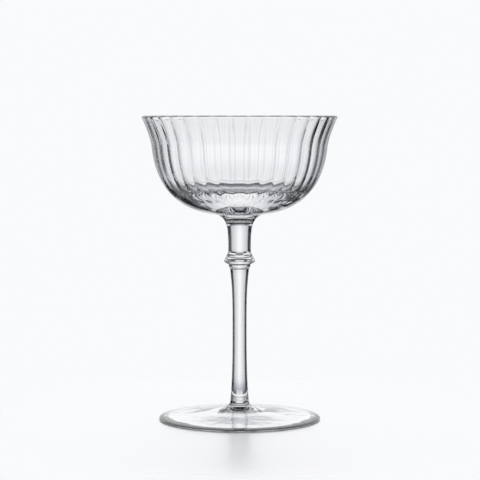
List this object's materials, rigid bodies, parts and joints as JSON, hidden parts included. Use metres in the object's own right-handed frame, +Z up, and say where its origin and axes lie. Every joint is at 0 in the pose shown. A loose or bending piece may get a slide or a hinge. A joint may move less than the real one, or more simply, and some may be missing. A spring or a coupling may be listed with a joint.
{
  "type": "cocktail glass",
  "caption": "Clear stemmed cocktail coupe: flared bowl with moulded inside flutes, trumpet neck, ring knop, slim shaft and a round hollow foot.",
  "frame": {"origin": "centre of the face that the foot rests on", "axes": "+Z up along the stem, towards the open rim; the glass is round about Z, and +X and +Y each run through the middle of a flute"},
  "size_m": [0.0976, 0.0976, 0.1525],
  "materials": {
    "crystal": "fire-polished clear crystal"
  },
  "bodies": {
    "root": {"bowl": "crystal", "neck": "crystal", "knop": "crystal", "shaft": "crystal", "foot": "crystal"}
  },
  "joints": []
}
